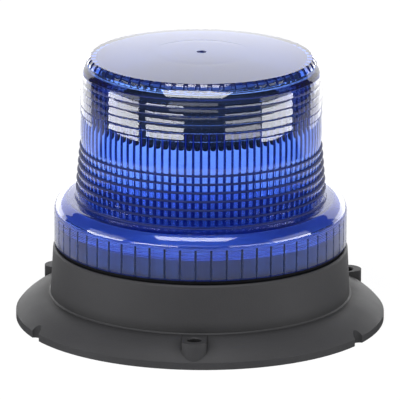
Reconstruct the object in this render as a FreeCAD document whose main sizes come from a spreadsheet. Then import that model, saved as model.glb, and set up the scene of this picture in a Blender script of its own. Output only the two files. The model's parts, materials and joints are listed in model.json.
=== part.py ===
import FreeCAD, Part
import os
import re
import Sketcher

# Driving sizes in millimetres and counts: name, value, what it is
SIZES = [
    ("bolt_circle", 150, "circle through the mounting bolts"),
    ("bolt_hole", 6.4, "mounting hole"),
    ("bolt_mouth", 0.5, "chamfer of the mounting hole"),
    ("boss_width", 10.8, "bolt boss across"),
    ("boss_reach", 7.2, "front of a bolt boss outside the bolt circle"),
    ("boss_height", 11.5, "top of the bolt boss"),
    ("boss_count", 3, "bolt bosses, with as many rim notches between them"),
    ("flange_edge", 7.5, "flange outside the bolt circle"),
    ("rim_height", 3.2, "upright edge of the flange"),
    ("rim_wall", 2.5, "thickness of the upright edge"),
    ("notch_radius", 3.2, "rounding of a rim notch"),
    ("notch_depth", 2.6, "reach of a rim notch into the flange"),
    ("skirt_top", 11.5, "height where the skirt meets the wall"),
    ("skirt_radius", 20, "crown of the skirt in section"),
    ("outer_wall", 2.5, "thickness of skirt and outer wall"),
    ("wall_draft", 1.2, "how far the outer wall leans in"),
    ("rib_count", 6, "stiffening ribs under the skirt"),
    ("rib_thickness", 2, "stiffening rib"),
    ("rib_lift", 2, "free height under a rib"),
    ("floor_height", 13, "underside of the housing floor"),
    ("floor_thickness", 3, "housing floor"),
    ("ledge_height", 33.2, "seat of the lens seal"),
    ("ledge_margin", 0.5, "how far the ledge stands out from the collar"),
    ("neck_diameter", 123.2, "neck that carries the lens"),
    ("neck_rise", 10.4, "neck above the ledge"),
    ("base_wall", 3, "thickness of neck and ledge"),
    ("edge_chamfer", 0.8, "broken edges of the housing"),
    ("seal_height", 1.8, "lens seal between ledge and collar"),
    ("seal_recess", 1.2, "seal set back from the collar face"),
    ("seal_round", 0.5, "rounding of the outer edges of the seal"),
    ("lens_clearance", 0.4, "room between the neck and what turns on it"),
    ("collar_wall", 3.4, "thickness of the collar"),
    ("collar_height", 15.3, "upright part of the collar"),
    ("collar_edge", 0.5, "rounding of the lower collar edge"),
    ("shoulder_rise", 5.7, "dome foot above the upright part of the collar"),
    ("shoulder_round", 7, "rounding of the shoulder"),
    ("shoulder_wall", 3, "thickness of the shoulder"),
    ("grip_count", 60, "grip grooves, with as many crown notches"),
    ("grip_width", 1, "half the mouth of the cutter of a grip groove"),
    ("grip_depth", 0.7, "depth of a grip groove"),
    ("grip_rest", 1.3, "plain collar above the grip grooves"),
    ("dome_diameter", 106.6, "dome between its rings"),
    ("focal_rise", 31.3, "middle of the clear band above the dome foot"),
    ("band_height", 15, "clear band"),
    ("band_bulge", 0.45, "crown of the clear band"),
    ("ring_pitch", 3.8, "height of one lens ring"),
    ("ring_crown", 44, "crown of a lens ring in section"),
    ("lower_rings", 5, "rings below the clear band"),
    ("lower_step", 0.9, "reach of a lower ring beyond the one above"),
    ("ring_lean", 0.34, "growth of each lower ring over the one above"),
    ("upper_rings", 5, "rings above the clear band"),
    ("upper_step", 0.6, "reach of the first upper ring beyond the clear band"),
    ("upper_gain", 0.045, "added lean of each upper ring, at its lower and upper edge"),
    ("foot_flare", 0.1, "growth of the dome foot over the lowest ring"),
    ("foot_wall", 4.1, "thickness of the dome at its foot"),
    ("lens_wall", 2.6, "thickness of the dome at its top"),
    ("taper_height", 3.5, "leaning ring below the crown"),
    ("taper_inset", 2.4, "how far that ring leans in"),
    ("taper_round", 12, "crown of that ring in section"),
    ("crown_height", 2.6, "notched rounding between dome and top"),
    ("crown_inset", 1.7, "how far that rounding leans in"),
    ("crown_round", 5, "radius of that rounding"),
    ("crown_rise", 2, "doming of the top"),
    ("crown_wall", 2.5, "thickness of the lens top"),
    ("crown_notch_width", 1.9, "notch across the crown rounding"),
    ("crown_notch_depth", 0.9, "notch across the crown rounding"),
    ("flute_count", 96, "upright flutes inside the dome"),
    ("flute_width", 2.9, "one flute"),
    ("flute_rise", 0.7, "how far a flute stands in"),
    ("flute_root", 0.25, "how far a flute sits in the wall"),
    ("flute_start", 3, "lower end of the flutes above the dome foot"),
    ("flute_over", 3.8, "upper end of the flutes above the clear band"),
    ("drum_margin", 0.4, "flange of the light drum inside the neck"),
    ("drum_wall", 2, "thickness of the light drum and its flange"),
    ("drum_gap", 11.5, "room between the foot of the drum and the dome"),
    ("drum_draft", 0.4, "how far the drum leans in"),
    ("drum_rise", 43.4, "light drum above the neck"),
    ("drum_root", 1.5, "rounding between the drum and its flange"),
    ("drum_post_diameter", 8, "post of a drum screw"),
    ("drum_post_root", 0.8, "how far a drum post runs into the neck"),
    ("drum_screw_count", 3, "drum screws"),
    ("lid_thickness", 1.6, "lid of the drum"),
    ("lid_spigot", 3, "rim of the lid inside the drum"),
    ("lid_round", 0.8, "rounding of the lid"),
    ("post_height", 12, "board and tower posts above the floor"),
    ("post_diameter", 7, "board and tower posts"),
    ("pilot_depth", 9, "screw pilot in a post"),
    ("board_diameter", 92, "driver board"),
    ("board_thickness", 1.6, "all circuit boards"),
    ("board_post_across", 36.4, "board post from the middle, left and right"),
    ("board_post_along", 21, "board post from the middle, front and rear"),
    ("cable_slot", 18, "opening in the driver board over the gland"),
    ("tower_across", 21, "flats of the light tower"),
    ("foot_rim", 4, "tower foot outside its screw circle"),
    ("foot_thickness", 3, "tower foot"),
    ("tower_faces", 6, "faces and light boards of the tower"),
    ("tower_screw_circle", 36, "screws of the tower foot"),
    ("tower_screw_count", 3, "screws of the tower foot"),
    ("strip_width", 11, "light board"),
    ("light_rise", 38, "lights above the driver board"),
    ("strip_over", 7.7, "light board above the lights"),
    ("strip_screw_drop", 21, "screw of a light board below the lights"),
    ("led_side", 3.5, "side of one LED"),
    ("led_base", 0.8, "body of one LED"),
    ("led_dome", 1.6, "radius of the clear dome of one LED"),
    ("led_spacing", 5.4, "pair of LEDs"),
    ("screw_shank", 2.9, "self tapping screw"),
    ("screw_head", 5.4, "head of a self tapping screw"),
    ("screw_head_height", 2, "head of a self tapping screw"),
    ("screw_reach", 7, "thread of a screw in its pilot"),
    ("strip_screw_shank", 2, "light board screw"),
    ("strip_screw_head", 3.8, "head of a light board screw"),
    ("strip_screw_head_height", 1.4, "head of a light board screw"),
    ("strip_screw_reach", 4, "thread of a light board screw in the tower"),
    ("fit", 0.1, "room around a piece in its hole"),
    ("gland_offset", 36, "gland from the middle, towards the rear"),
    ("gland_thread", 12, "gland thread through the floor"),
    ("gland_hex", 17, "flats of the gland body and lock nut"),
    ("gland_hex_height", 3.4, "hexagon of the gland body"),
    ("gland_washer_height", 1, "gland washer"),
    ("gland_reach", 7, "gland thread above the floor"),
    ("lock_nut_height", 3.6, "gland lock nut"),
    ("gland_spigot", 11.6, "lower thread of the gland"),
    ("gland_spigot_height", 5, "lower thread of the gland"),
    ("gland_bore", 9, "bore of the gland body"),
    ("dome_nut_wall", 1.7, "wall of the dome nut at its flats"),
    ("dome_nut_floor", 1.4, "lower wall of the dome nut"),
    ("dome_nut_gap", 0.4, "dome nut below the gland hexagon"),
    ("dome_nut_mouth", 0.4, "hole of the dome nut outside the cable"),
    ("gland_seal_height", 6, "gland seal"),
    ("cable_diameter", 6.6, "bore of the gland seal"),
    ("terminal_length", 14, "terminal block, across"),
    ("terminal_depth", 9, "terminal block"),
    ("terminal_height", 10.5, "terminal block"),
    ("terminal_left", 19, "terminal block from the middle, to the left"),
    ("terminal_rear", 29, "terminal block from the middle, to the rear"),
    ("terminal_ways", 2, "wires of the terminal block"),
    ("terminal_screw", 3, "terminal screw"),
    ("terminal_screw_depth", 4, "well of a terminal screw"),
    ("terminal_screw_height", 2.6, "terminal screw"),
    ("wire_hole", 2.6, "wire hole of the terminal block"),
    ("wire_hole_depth", 6, "wire hole of the terminal block"),
    ("wire_hole_height", 3.2, "wire hole above the board"),
    ("capacitor_diameter", 10, "capacitor"),
    ("capacitor_height", 12.5, "capacitor"),
    ("capacitor_right", 32, "capacitors from the middle, to the right"),
    ("capacitor_spacing", 12.5, "pair of capacitors"),
    ("capacitor_groove", 0.6, "crimp groove of a capacitor"),
    ("capacitor_groove_height", 2.4, "crimp groove above the board"),
    ("choke_side", 12, "choke"),
    ("choke_height", 7, "choke"),
    ("choke_left", 32, "choke from the middle, to the left"),
    ("choke_corner", 2, "broken corner of the choke"),
    ("chip_length", 10, "driver chip"),
    ("chip_width", 6, "driver chip"),
    ("chip_height", 1.8, "driver chip"),
    ("chip_front", 31, "chip and transistors from the middle, to the front"),
    ("chip_left", 12, "driver chip from the middle, to the left"),
    ("transistor_side", 6.4, "transistor"),
    ("transistor_height", 2.3, "transistor"),
    ("transistor_tab", 1.2, "metal tab of a transistor"),
    ("transistor_tab_height", 0.6, "metal tab of a transistor"),
    ("transistor_right", 8, "first transistor from the middle, to the right"),
    ("transistor_pitch", 9, "pair of transistors"),
]

doc = FreeCAD.newDocument("led_beacon")
sheet = doc.addObject("Spreadsheet::Sheet", "Sizes")
for row, (alias, amount, meaning) in enumerate(SIZES, start=1):
    sheet.set(f"A{row}", meaning)
    sheet.set(f"B{row}", str(amount))
    sheet.setAlias(f"B{row}", alias)
doc.recompute()

ALIASES = {alias for alias, amount, meaning in SIZES}
TURN = 360
FRONT = -90
REAR = 90
POCKET = "PartDesign::Pocket"
sub_parts = []


def full(expression):
    """The expression with the sheet's name before each size."""
    return re.sub(r"[a-z_]+", lambda word: f"Sizes.{word[0]}" if word[0] in ALIASES else word[0], expression)


def worth(expression):
    """The present value of an expression of the sheet."""
    return float(sheet.evalExpression(full(expression)))


def count(alias):
    return int(worth(alias))


def bind(item, **expressions):
    """Ties properties of an item to the sheet. A double underscore stands for a point."""
    for name, expression in expressions.items():
        item.setExpression(name.replace("__", "."), full(expression))
    return item


def add_part(item, label):
    """Names an item as one piece of the beacon."""
    item.Label = label
    sub_parts.append(item)
    return item


def around(circle, copies, start):
    """Places on a circle, as pairs of expressions."""
    step = TURN / copies
    angles = [start + step * index for index in range(copies)]
    return [(f"{circle} / 2 * cos({angle})", f"{circle} / 2 * sin({angle})") for angle in angles]


# Sketches


def new_body(label):
    return add_part(doc.addObject("PartDesign::Body", label), label)


def origin_item(body, role):
    return next(item for item in body.Origin.OriginFeatures if item.Role == role)


def new_sketch(body, name, plane, lift=None):
    """An empty sketch on an origin plane of its body, lifted along the normal of that plane."""
    sketch = body.newObject("Sketcher::SketchObject", name)
    sketch.AttachmentSupport = [(origin_item(body, plane), "")]
    sketch.MapMode = "FlatFace"
    if lift:
        bind(sketch, AttachmentOffset__Base__z=lift)
    return sketch


def set_place(sketch, edge, end, across, along):
    """Ties one point of a sketch to its two coordinates."""
    for kind, axis, expression in (("DistanceX", -2, across), ("DistanceY", -1, along)):
        if expression == "0":
            sketch.addConstraint(Sketcher.Constraint("PointOnObject", edge, end, axis))
            continue
        rule = Sketcher.Constraint(kind, -1, 1, edge, end, worth(expression))
        index = sketch.addConstraint(rule)
        bind(sketch, **{f"Constraints[{index}]": expression})


def arc_through(start, finish, radius):
    """An arc that bulges to the right of the way from start to finish, or to the left if radius is minus."""
    chord = finish - start
    right = FreeCAD.Vector(chord.y, -chord.x, 0).normalize()
    side = 1 if radius > 0 else -1
    rise = abs(radius) - (radius ** 2 - (chord.Length / 2) ** 2) ** 0.5
    middle = (start + finish) / 2 + right * rise * side
    return Part.Arc(start, middle, finish)


def draw_outline(sketch, corners):
    """A closed outline. A corner is (across, along), or has the radius of the arc that leads to it."""
    spots = [FreeCAD.Vector(worth(corner[0]), worth(corner[1]), 0) for corner in corners]
    ends = []
    for index, corner in enumerate(corners):
        start = spots[index - 1]
        finish = spots[index]
        if len(corner) == 2:
            edge = sketch.addGeometry(Part.LineSegment(start, finish))
            ends.append((edge, 1, 2))
            continue
        radius = worth(corner[2])
        edge = sketch.addGeometry(arc_through(start, finish, radius))
        ends.append((edge, 1, 2) if radius > 0 else (edge, 2, 1))
    for index, (edge, first, last) in enumerate(ends):
        next_edge, next_first, next_last = ends[(index + 1) % len(ends)]
        sketch.addConstraint(Sketcher.Constraint("Coincident", edge, last, next_edge, next_first))
    for (edge, first, last), corner in zip(ends, corners):
        set_place(sketch, edge, last, corner[0], corner[1])
        if len(corner) == 3:
            rule = sketch.addConstraint(Sketcher.Constraint("Radius", edge, abs(worth(corner[2]))))
            bind(sketch, **{f"Constraints[{rule}]": f"abs({corner[2]})"})


def draw_circles(sketch, places, radius):
    for across, along in places:
        centre = FreeCAD.Vector(worth(across), worth(along), 0)
        upward = FreeCAD.Vector(0, 0, 1)
        edge = sketch.addGeometry(Part.Circle(centre, upward, worth(radius)))
        set_place(sketch, edge, 3, across, along)
        rule = sketch.addConstraint(Sketcher.Constraint("Radius", edge, worth(radius)))
        bind(sketch, **{f"Constraints[{rule}]": radius})


# Features of a body


def revolve(body, name, corners, kind="PartDesign::Revolution"):
    """A full turn of an outline of radius and height about the upright axis."""
    sketch = new_sketch(body, f"{name}_section", "XZ_Plane")
    draw_outline(sketch, corners)
    feature = body.newObject(kind, name)
    feature.Profile = sketch
    feature.ReferenceAxis = (sketch, ["V_Axis"])
    feature.Angle = TURN
    return feature


def extrude(body, name, sketch, length, kind="PartDesign::Pad", **options):
    feature = body.newObject(kind, name)
    feature.Profile = sketch
    bind(feature, Length=length)
    for option, setting in options.items():
        setattr(feature, option, setting)
    return feature


def posts(body, name, places, radius, lift, length):
    """Round posts that stand up from a height."""
    sketch = new_sketch(body, f"{name}_plan", "XY_Plane", lift)
    draw_circles(sketch, places, radius)
    return extrude(body, name, sketch, length)


def holes(body, name, places, radius, lift, length):
    """Round holes that go up from a height."""
    sketch = new_sketch(body, f"{name}_plan", "XY_Plane", lift)
    draw_circles(sketch, places, radius)
    return extrude(body, name, sketch, length, POCKET, Reversed=True)


def repeat(body, name, features, copies):
    """A full circle of copies about the upright axis."""
    pattern = body.newObject("PartDesign::PolarPattern", name)
    pattern.Originals = features
    pattern.Axis = (origin_item(body, "Z_Axis"), [""])
    pattern.Angle = TURN
    bind(pattern, Occurrences=copies)
    body.Tip = pattern
    return pattern


# Plain solids


def cylinder(name, radius, height, x="0", y="0", z="0"):
    item = doc.addObject("Part::Cylinder", name)
    return bind(item, Radius=radius, Height=height, Placement__Base__x=x, Placement__Base__y=y, Placement__Base__z=z)


def sideways_cylinder(name, radius, height, x="0", y="0", z="0"):
    """A cylinder that starts at a point and runs along X."""
    item = cylinder(name, radius, height, x, y, z)
    item.Placement.Rotation = FreeCAD.Rotation(FreeCAD.Vector(0, 1, 0), 90)
    return item


def box(name, size, corner):
    item = doc.addObject("Part::Box", name)
    bind(item, Length=size[0], Width=size[1], Height=size[2])
    return bind(item, Placement__Base__x=corner[0], Placement__Base__y=corner[1], Placement__Base__z=corner[2])


def hexagon(name, flats, height, x, y, z):
    item = doc.addObject("Part::Prism", name)
    bind(item, Circumradius=f"({flats}) / sqrt(3)", Height=height)
    return bind(item, Placement__Base__x=x, Placement__Base__y=y, Placement__Base__z=z)


def fuse(name, items):
    item = doc.addObject("Part::MultiFuse", name)
    item.Shapes = items
    return item


def cut(name, base, tool):
    item = doc.addObject("Part::Cut", name)
    item.Base = base
    item.Tool = tool
    return item


def group(name, items):
    item = doc.addObject("Part::Compound", name)
    item.Links = items
    return item


def turned(item, angle):
    """Turns a finished piece about the upright axis."""
    item.Placement = FreeCAD.Placement(FreeCAD.Vector(), FreeCAD.Rotation(FreeCAD.Vector(0, 0, 1), angle))
    return item


def screw(name, x, y, seat, below):
    """An upright screw with its head on a seat and its shank that far below."""
    head = cylinder(f"{name}_head", "screw_head / 2", "screw_head_height", x, y, seat)
    shank = cylinder(f"{name}_shank", "screw_shank / 2", below, x, y, f"{seat} - ({below})")
    return fuse(name, [head, shank])


def screw_group(label, places, seat, below):
    screws = [screw(f"{label}_{index}", x, y, seat, below) for index, (x, y) in enumerate(places, start=1)]
    return add_part(group(label, screws), label)


# Heights and radii that follow from the sizes

FLANGE_RADIUS = "(bolt_circle / 2 + flange_edge)"
NECK_RADIUS = "(neck_diameter / 2)"
NECK_BORE = f"({NECK_RADIUS} - base_wall)"
NECK_TOP = "(ledge_height + neck_rise)"
COLLAR_BORE = f"({NECK_RADIUS} + lens_clearance)"
COLLAR_RADIUS = f"({COLLAR_BORE} + collar_wall)"
WALL_TOP_RADIUS = f"({COLLAR_RADIUS} + ledge_margin)"
WALL_FOOT_RADIUS = f"({WALL_TOP_RADIUS} + wall_draft)"
BOSS_ROUND = "(0.6 * boss_width)"
BOSS_SIDE = f"(bolt_circle / 2 + boss_reach - {BOSS_ROUND} + sqrt({BOSS_ROUND} ^ 2 - (boss_width / 2) ^ 2))"
FLOOR_TOP = "(floor_height + floor_thickness)"
BOARD_FOOT = f"({FLOOR_TOP} + post_height)"
BOARD_TOP = f"({BOARD_FOOT} + board_thickness)"
FOOT_TOP = f"({BOARD_TOP} + foot_thickness)"

COLLAR_FOOT = "(ledge_height + seal_height)"
COLLAR_TOP = f"({COLLAR_FOOT} + collar_height)"
DOME_FOOT = f"({COLLAR_TOP} + shoulder_rise)"
FOCUS = f"({DOME_FOOT} + focal_rise)"
BAND_FOOT = f"({FOCUS} - band_height / 2)"
BAND_TOP = f"({FOCUS} + band_height / 2)"
TAPER_FOOT = f"({BAND_TOP} + upper_rings * ring_pitch)"
CROWN_FOOT = f"({TAPER_FOOT} + taper_height)"
CROWN_EDGE = f"({CROWN_FOOT} + crown_height)"
DOME_RADIUS = "(dome_diameter / 2)"
DOME_FOOT_RADIUS = f"({DOME_RADIUS} + lower_step + lower_rings * ring_lean + foot_flare)"
CROWN_FOOT_RADIUS = f"({DOME_RADIUS} - taper_inset)"
CROWN_RADIUS = f"({CROWN_FOOT_RADIUS} - crown_inset)"
BORE_FOOT_RADIUS = f"({DOME_FOOT_RADIUS} - foot_wall)"
BORE_TOP_RADIUS = f"({DOME_RADIUS} - lens_wall)"
FLUTE_FOOT = f"({DOME_FOOT} + flute_start)"
FLUTE_TOP = f"({BAND_TOP} + flute_over)"
BORE_TOP = f"({CROWN_FOOT} - crown_wall)"

STRIP_FACE = "(tower_across / 2 + board_thickness)"
LIGHT_HEIGHT = f"({BOARD_TOP} + light_rise)"
STRIP_TOP = f"({LIGHT_HEIGHT} + strip_over)"
STRIP_SCREW = f"({LIGHT_HEIGHT} - strip_screw_drop)"
DRUM_FOOT_RADIUS = f"({BORE_FOOT_RADIUS} - drum_gap)"
DRUM_TOP_RADIUS = f"({DRUM_FOOT_RADIUS} - drum_draft)"
DRUM_FLANGE_TOP = f"({NECK_TOP} + drum_wall)"
DRUM_TOP = f"({NECK_TOP} + drum_rise)"
DRUM_SCREW_CIRCLE = f"(2 * ({NECK_BORE} - drum_post_diameter / 2 + drum_post_root))"

GLAND_HEX_TOP = "(floor_height - gland_washer_height)"
GLAND_HEX_FOOT = f"({GLAND_HEX_TOP} - gland_hex_height)"
SPIGOT_FOOT = f"({GLAND_HEX_FOOT} - gland_spigot_height)"
NUT_FLOOR = f"({SPIGOT_FOOT} - dome_nut_gap)"
NUT_FOOT = f"({NUT_FLOOR} - dome_nut_floor)"
NUT_TOP = f"({GLAND_HEX_FOOT} - dome_nut_gap)"

BOARD_POSTS = [(f"{side}board_post_across", f"{way}board_post_along") for side in ("", "-") for way in ("", "-")]
TOWER_SCREWS = around("tower_screw_circle", count("tower_screw_count"), REAR)
DRUM_SCREWS = around(DRUM_SCREW_CIRCLE, count("drum_screw_count"), FRONT)
GLAND_PLACE = ("0", "gland_offset")
PILOT = "(screw_shank / 2 + fit)"


def make_base_housing():
    body = new_body("base_housing")
    revolve(body, "housing_shell", [
        (f"{FLANGE_RADIUS} - rim_wall", "0"),
        (FLANGE_RADIUS, "0"),
        (FLANGE_RADIUS, "rim_height"),
        (WALL_FOOT_RADIUS, "skirt_top", "skirt_radius"),
        (WALL_TOP_RADIUS, "ledge_height - edge_chamfer"),
        (f"{WALL_TOP_RADIUS} - edge_chamfer", "ledge_height"),
        (NECK_RADIUS, "ledge_height"),
        (NECK_RADIUS, f"{NECK_TOP} - edge_chamfer"),
        (f"{NECK_RADIUS} - edge_chamfer", NECK_TOP),
        (NECK_BORE, NECK_TOP),
        (NECK_BORE, FLOOR_TOP),
        ("0", FLOOR_TOP),
        ("0", "floor_height"),
        (NECK_RADIUS, "floor_height"),
        (NECK_RADIUS, "ledge_height - base_wall"),
        (f"{WALL_TOP_RADIUS} - outer_wall", "ledge_height - base_wall"),
        (f"{WALL_FOOT_RADIUS} - outer_wall", "skirt_top - outer_wall"),
        (f"{FLANGE_RADIUS} - rim_wall", "rim_height / 2", "-(skirt_radius - outer_wall)"),
    ])

    # Bolt bosses with their holes, and the rim notches between them
    boss_plan = new_sketch(body, "bolt_boss_plan", "XY_Plane")
    boss_root = f"-({WALL_FOOT_RADIUS} - outer_wall / 2)"
    draw_outline(boss_plan, [
        ("-boss_width / 2", boss_root),
        ("-boss_width / 2", f"-{BOSS_SIDE}"),
        ("boss_width / 2", f"-{BOSS_SIDE}", BOSS_ROUND),
        ("boss_width / 2", boss_root),
    ])
    boss = extrude(body, "bolt_boss", boss_plan, "boss_height")
    hole_section = new_sketch(body, "bolt_hole_section", "YZ_Plane")
    hole_wall = "-bolt_circle / 2 + bolt_hole / 2"
    draw_outline(hole_section, [
        ("-bolt_circle / 2", "-bolt_mouth"),
        ("-bolt_circle / 2", "boss_height + bolt_mouth"),
        (f"{hole_wall} + 2 * bolt_mouth", "boss_height + bolt_mouth"),
        (hole_wall, "boss_height - bolt_mouth"),
        (hole_wall, "-bolt_mouth"),
    ])
    start = FreeCAD.Vector(worth("-bolt_circle / 2"), 0, 0)
    finish = FreeCAD.Vector(worth("-bolt_circle / 2"), worth("boss_height"), 0)
    axis = hole_section.addGeometry(Part.LineSegment(start, finish), True)
    hole_section.addConstraint(Sketcher.Constraint("Coincident", axis, 1, 1, 1))
    hole_section.addConstraint(Sketcher.Constraint("Coincident", axis, 2, 1, 2))
    hole = body.newObject("PartDesign::Groove", "bolt_hole_cut")
    hole.Profile = hole_section
    hole.ReferenceAxis = (hole_section, ["Axis0"])
    hole.Angle = TURN
    notch_place = ("0", f"{FLANGE_RADIUS} - notch_depth + notch_radius")
    notch = holes(body, "rim_notch", [notch_place], "notch_radius", None, "skirt_top")
    repeat(body, "flange_pattern", [boss, hole, notch], "boss_count")

    # Ribs under the skirt
    rib_section = new_sketch(body, "rib_section", "XZ_Plane")
    inner_end = f"{NECK_RADIUS} - base_wall / 2"
    upper_end = "ledge_height - base_wall / 2"
    draw_outline(rib_section, [
        (inner_end, FLOOR_TOP),
        (WALL_FOOT_RADIUS, "rib_lift"),
        (f"{FLANGE_RADIUS} - rim_wall / 2", "rib_lift"),
        (f"{WALL_FOOT_RADIUS} - outer_wall / 2", "skirt_top - outer_wall / 2", "skirt_radius - outer_wall / 2"),
        (f"{WALL_TOP_RADIUS} - outer_wall / 2", upper_end),
        (inner_end, upper_end),
    ])
    rib = extrude(body, "skirt_rib", rib_section, "rib_thickness", Midplane=True)
    repeat(body, "rib_pattern", [rib], "rib_count")

    # Posts and their pilots, then the gland hole
    board_places = BOARD_POSTS + TOWER_SCREWS
    posts(body, "board_posts", board_places, "post_diameter / 2", "floor_height", "floor_thickness + post_height")
    posts(body, "drum_posts", DRUM_SCREWS, "drum_post_diameter / 2", "floor_height", f"{NECK_TOP} - floor_height")
    holes(body, "board_pilots", board_places, PILOT, f"{BOARD_FOOT} - pilot_depth", "pilot_depth")
    holes(body, "drum_pilots", DRUM_SCREWS, PILOT, f"{NECK_TOP} - pilot_depth", "pilot_depth")
    holes(body, "gland_hole", [GLAND_PLACE], "gland_thread / 2 + fit", "floor_height", "floor_thickness")


def lens_outline():
    """Section of the lens without flutes, from the collar foot up the outside and down the inside."""
    shoulder = f"{COLLAR_RADIUS} - shoulder_rise"
    corners = [
        (f"{COLLAR_RADIUS} - collar_edge", COLLAR_FOOT),
        (COLLAR_RADIUS, f"{COLLAR_FOOT} + collar_edge", "collar_edge"),
        (COLLAR_RADIUS, COLLAR_TOP),
        (shoulder, DOME_FOOT, "shoulder_round"),
        (DOME_FOOT_RADIUS, DOME_FOOT),
        (DOME_FOOT_RADIUS, f"{BAND_FOOT} - lower_rings * ring_pitch"),
    ]
    for ring in reversed(range(count("lower_rings"))):
        root = f"{DOME_RADIUS} + {ring} * ring_lean"
        corners.append((root, f"{BAND_FOOT} - {ring + 1} * ring_pitch"))
        corners.append((f"{root} + lower_step", f"{BAND_FOOT} - {ring} * ring_pitch", "ring_crown"))
    corners.append((DOME_RADIUS, BAND_FOOT))
    corners.append((DOME_RADIUS, BAND_TOP, "((band_height / 2) ^ 2 + band_bulge ^ 2) / (2 * band_bulge)"))
    for ring in range(count("upper_rings")):
        tip = f"{DOME_RADIUS} + upper_step + {ring} * upper_gain"
        corners.append((tip, f"{BAND_TOP} + {ring} * ring_pitch"))
        root = f"{DOME_RADIUS} - {ring} * upper_gain"
        corners.append((root, f"{BAND_TOP} + {ring + 1} * ring_pitch", "ring_crown"))
    top_crown = f"({CROWN_RADIUS} ^ 2 + crown_rise ^ 2) / (2 * crown_rise)"
    corners += [
        (f"{DOME_RADIUS} + upper_step", TAPER_FOOT),
        (f"{CROWN_FOOT_RADIUS} + upper_step / 2", CROWN_FOOT, "taper_round"),
        (CROWN_FOOT_RADIUS, CROWN_FOOT),
        (CROWN_RADIUS, CROWN_EDGE, "crown_round"),
        ("0", f"{CROWN_EDGE} + crown_rise", top_crown),
        ("0", f"{CROWN_EDGE} + crown_rise - crown_wall"),
        (f"{CROWN_RADIUS} - crown_wall", f"{CROWN_EDGE} - crown_wall", f"-({top_crown})"),
        (BORE_TOP_RADIUS, BORE_TOP),
        (BORE_FOOT_RADIUS, DOME_FOOT),
        (BORE_FOOT_RADIUS, f"{DOME_FOOT} - shoulder_wall"),
        (f"{COLLAR_BORE} - shoulder_wall", f"{DOME_FOOT} - shoulder_wall"),
        (COLLAR_BORE, f"{DOME_FOOT} - 2 * shoulder_wall"),
        (COLLAR_BORE, COLLAR_FOOT),
    ]
    return corners


def make_lens_dome():
    body = new_body("lens_dome")
    revolve(body, "lens_shell", lens_outline())

    # Flutes that lean with the bore of the dome
    slope = f"({BORE_FOOT_RADIUS} - {BORE_TOP_RADIUS}) / ({BORE_TOP} - {DOME_FOOT})"
    flute_crown = "((flute_width / 2) ^ 2 + flute_rise ^ 2) / (2 * flute_rise)"
    flute_ends = []
    for name, lift in (("flute_lower", FLUTE_FOOT), ("flute_upper", FLUTE_TOP)):
        wall = f"{BORE_FOOT_RADIUS} - ({lift} - {DOME_FOOT}) * {slope}"
        sketch = new_sketch(body, name, "XY_Plane", lift)
        draw_outline(sketch, [
            (f"{wall} + flute_root", "-flute_width / 2"),
            (f"{wall} + flute_root", "flute_width / 2"),
            (wall, "flute_width / 2"),
            (wall, "-flute_width / 2", flute_crown),
        ])
        flute_ends.append(sketch)
    flute = body.newObject("PartDesign::AdditiveLoft", "flute")
    flute.Profile = flute_ends[0]
    flute.Sections = flute_ends[1:]
    flute.Ruled = True
    repeat(body, "flute_pattern", [flute], "flute_count")

    # Grip grooves of the collar and notches across the crown rounding
    groove_plan = new_sketch(body, "grip_plan", "XY_Plane", COLLAR_FOOT)
    draw_outline(groove_plan, [
        (f"{COLLAR_RADIUS} + grip_depth", "-grip_width"),
        (f"{COLLAR_RADIUS} + grip_depth", "grip_width"),
        (f"{COLLAR_RADIUS} - grip_depth", "0"),
    ])
    groove = extrude(body, "grip_groove", groove_plan, "collar_height - grip_rest", POCKET, Reversed=True)
    notch_section = new_sketch(body, "crown_notch_section", "XZ_Plane")
    crown_root = f"{CROWN_FOOT_RADIUS} - crown_notch_depth"
    draw_outline(notch_section, [
        (crown_root, CROWN_FOOT, "-crown_round"),
        (f"{crown_root} + 2 * crown_notch_depth", CROWN_FOOT),
        (f"{crown_root} + 2 * crown_notch_depth", f"{CROWN_EDGE} + crown_notch_depth"),
        (CROWN_RADIUS, f"{CROWN_EDGE} + crown_notch_depth"),
        (CROWN_RADIUS, f"{CROWN_EDGE} - crown_notch_depth"),
    ])
    notch = extrude(body, "crown_notch", notch_section, "crown_notch_width", POCKET, Midplane=True)
    repeat(body, "grip_pattern", [groove, notch], "grip_count")


def make_lens_seal():
    body = new_body("lens_seal")
    outside = f"{COLLAR_RADIUS} - seal_recess"
    revolve(body, "seal_ring", [
        (COLLAR_BORE, "ledge_height"),
        (f"{outside} - seal_round", "ledge_height"),
        (outside, "ledge_height + seal_round", "seal_round"),
        (outside, f"{COLLAR_FOOT} - seal_round"),
        (f"{outside} - seal_round", COLLAR_FOOT, "seal_round"),
        (COLLAR_BORE, COLLAR_FOOT),
    ])


def make_light_drum():
    body = new_body("light_drum")
    edge = f"{NECK_RADIUS} - drum_margin"
    revolve(body, "drum_shell", [
        (edge, NECK_TOP),
        (edge, DRUM_FLANGE_TOP),
        (f"{DRUM_FOOT_RADIUS} + drum_root", DRUM_FLANGE_TOP),
        (DRUM_FOOT_RADIUS, f"{DRUM_FLANGE_TOP} + drum_root", "-drum_root"),
        (DRUM_TOP_RADIUS, DRUM_TOP),
        (f"{DRUM_TOP_RADIUS} - drum_wall", DRUM_TOP),
        (f"{DRUM_FOOT_RADIUS} - drum_wall", NECK_TOP),
    ])
    holes(body, "drum_holes", DRUM_SCREWS, PILOT, NECK_TOP, "drum_wall")
    screw_group("drum_screws", DRUM_SCREWS, DRUM_FLANGE_TOP, "drum_wall + screw_reach")


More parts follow.
